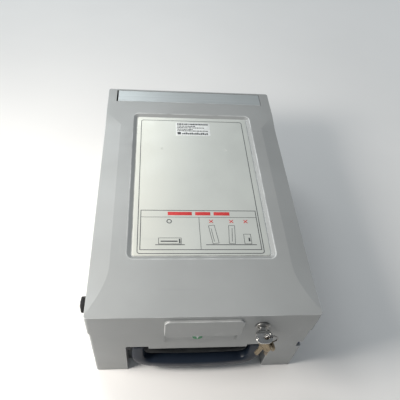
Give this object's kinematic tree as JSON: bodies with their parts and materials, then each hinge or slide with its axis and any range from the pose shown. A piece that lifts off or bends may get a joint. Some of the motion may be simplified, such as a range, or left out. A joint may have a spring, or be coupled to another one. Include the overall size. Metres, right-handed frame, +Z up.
{
  "type": "banknote cassette",
  "caption": "Lockable box cassette that stores banknotes for a cash machine, with hinged lid, note shutter, drop handle, pusher plate and feed rollers.",
  "frame": {"origin": "centre of the case's underside", "axes": "+X to the right seen from the handle, +Y from the handle to the note shutter, +Z up"},
  "size_m": [0.2648, 0.389, 0.14],
  "materials": {
    "shell": "fine satin moulded grey plastic",
    "label": "satin silver plate",
    "shutter": "brushed",
    "handle": "satin navy",
    "panel": "fine textured dark grey",
    "black_plastic": "satin",
    "blue_plastic": "satin dark blue",
    "ivory_plastic": "natural acetal",
    "status_green": "satin",
    "board": "solder mask green",
    "wheel": "hard black tyre",
    "roller_rubber": "matt",
    "belt": "matt",
    "steel": "brushed",
    "frame_sheet": "zinc plated sheet",
    "ring_steel": "worn",
    "rod_chrome": "ground",
    "lock_chrome": "polished, scuffed",
    "key_nickel": "polished, scuffed",
    "key_brass": "worn",
    "bush_brass": "sintered"
  },
  "bodies": {
    "case": {"lower_case": "shell", "handle_panel": "panel", "handle_pin_left": "steel", "handle_pin_right": "steel", "lid_hinge_pin": "steel", "status_disc": "status_green", "lock_keeper": "steel", "circuit_board": "board", "signal_connector": "black_plastic", "bolt_spring": "steel", "side_axle_left": "steel", "side_axle_right": "steel", "side_frame_left": "frame_sheet", "side_frame_right": "frame_sheet", "note_floor": "frame_sheet", "guide_rod_left": "rod_chrome", "guide_rod_right": "rod_chrome", "pusher_belt": "belt", "pick_bush_left": "bush_brass", "pick_bush_right": "bush_brass", "drive_axle": "steel"},
    "lid": {"lid": "shell", "label_plate": "label", "shutter_pin": "steel", "lock_cylinder": "lock_chrome"},
    "shutter": {"shutter": "shutter"},
    "key_barrel": {"lock_plug": "lock_chrome", "lock_cam": "steel", "lock_key": "key_nickel"},
    "key_ring": {"key_ring": "ring_steel"},
    "spare_key_left": {"spare_key_left": "key_brass"},
    "spare_key_right": {"spare_key_right": "key_brass"},
    "handle": {"handle": "handle"},
    "pusher": {"pusher_carriage": "black_plastic", "pusher_plate": "panel"},
    "belt_pulley_front": {"belt_pulley_front": "ivory_plastic"},
    "belt_pulley_rear": {"belt_pulley_rear": "ivory_plastic"},
    "pick": {"pick_shaft": "steel", "pick_roller_left": "roller_rubber", "pick_roller_centre": "roller_rubber", "pick_roller_right": "roller_rubber", "pick_gear": "ivory_plastic"},
    "feed": {"feed_shaft": "steel", "feed_roller_left": "roller_rubber", "feed_roller_right": "roller_rubber", "feed_gear": "ivory_plastic"},
    "pinch": {"pinch_shaft": "steel", "pinch_roller_left": "roller_rubber", "pinch_roller_right": "roller_rubber"},
    "stacker": {"stacker_shaft": "steel", "stacker_wheel_left": "blue_plastic", "stacker_wheel_right": "blue_plastic", "stacker_gear": "ivory_plastic"},
    "drive": {"drive_gear": "ivory_plastic"},
    "side_bolt": {"side_bolt": "blue_plastic"},
    "side_wheel_left": {"side_wheel_left": "wheel"},
    "side_wheel_right": {"side_wheel_right": "wheel"}
  },
  "joints": [
    {"name": "lid_hinge", "type": "hinge", "parent": "case", "child": "lid", "pos_m": [0, 0.18, 0.1005], "axis": [-1, 0, 0], "range_deg": [0, 80]},
    {"name": "shutter_hinge", "type": "hinge", "parent": "lid", "child": "shutter", "pos_m": [0, 0.158, 0.136], "axis": [-1, 0, 0], "range_deg": [0, 60], "stiffness_Nm_per_rad": 0.05, "springref_deg": -34.38},
    {"name": "handle_swing", "type": "hinge", "parent": "case", "child": "handle", "pos_m": [0, -0.1765, 0.056], "axis": [-1, 0, 0], "range_deg": [0, 88]},
    {"name": "key_turn", "type": "hinge", "parent": "lid", "child": "key_barrel", "pos_m": [0.061, -0.19, 0.118], "axis": [0, -1, 0], "range_deg": [0, 90]},
    {"name": "key_ring_swing", "type": "hinge", "parent": "key_barrel", "child": "key_ring", "pos_m": [0.068, -0.197, 0.119], "axis": [-1, 0, 0], "range_deg": [0, 20]},
    {"name": "spare_key_left_slide", "type": "hinge", "parent": "key_ring", "child": "spare_key_left", "pos_m": [0.068, -0.197, 0.1126], "axis": [0, -1, 0], "range_deg": [-60, 10]},
    {"name": "spare_key_right_slide", "type": "hinge", "parent": "key_ring", "child": "spare_key_right", "pos_m": [0.068, -0.197, 0.1126], "axis": [0, -1, 0], "range_deg": [-10, 60]},
    {"name": "pusher_slide", "type": "slide", "parent": "case", "child": "pusher", "axis": [0, 1, 0], "range_m": [0, 0.225]},
    {"name": "front_pulley_spin", "type": "hinge", "parent": "case", "child": "belt_pulley_front", "pos_m": [0, -0.157, 0.011], "axis": [-1, 0, 0], "continuous": true},
    {"name": "rear_pulley_spin", "type": "hinge", "parent": "case", "child": "belt_pulley_rear", "pos_m": [0, 0.118, 0.011], "axis": [-1, 0, 0], "continuous": true},
    {"name": "pick_spin", "type": "hinge", "parent": "case", "child": "pick", "pos_m": [0, 0.14, 0.07], "axis": [1, 0, 0], "continuous": true},
    {"name": "feed_spin", "type": "hinge", "parent": "case", "child": "feed", "pos_m": [0, 0.15982, 0.08388], "axis": [1, 0, 0], "continuous": true},
    {"name": "pinch_spin", "type": "hinge", "parent": "case", "child": "pinch", "pos_m": [0, 0.1743, 0.088], "axis": [1, 0, 0], "continuous": true},
    {"name": "stacker_spin", "type": "hinge", "parent": "case", "child": "stacker", "pos_m": [0, 0.1419, 0.04287], "axis": [1, 0, 0], "continuous": true},
    {"name": "drive_spin", "type": "hinge", "parent": "case", "child": "drive", "pos_m": [-0.1045, 0.16721, 0.0384], "axis": [1, 0, 0], "continuous": true},
    {"name": "side_bolt_press", "type": "slide", "parent": "case", "child": "side_bolt", "axis": [-1, 0, 0], "range_m": [0, 0.004], "stiffness_N_per_m": 300, "springref_m": -0.004},
    {"name": "left_wheel_spin", "type": "hinge", "parent": "case", "child": "side_wheel_left", "pos_m": [-0.12675, -0.144, 0.092], "axis": [1, 0, 0], "continuous": true},
    {"name": "right_wheel_spin", "type": "hinge", "parent": "case", "child": "side_wheel_right", "pos_m": [0.12675, -0.144, 0.092], "axis": [1, 0, 0], "continuous": true}
  ],
  "couplings": [
    {"joint": "front_pulley_spin", "follows": "pusher_slide", "rad_per_m": 188.68},
    {"joint": "rear_pulley_spin", "follows": "pusher_slide", "rad_per_m": 188.68},
    {"joint": "stacker_spin", "follows": "pick_spin", "ratio": -1},
    {"joint": "feed_spin", "follows": "pick_spin", "ratio": -1.2857},
    {"joint": "pinch_spin", "follows": "pick_spin", "ratio": 2.4429},
    {"joint": "drive_spin", "follows": "pick_spin", "ratio": 1.125}
  ]
}
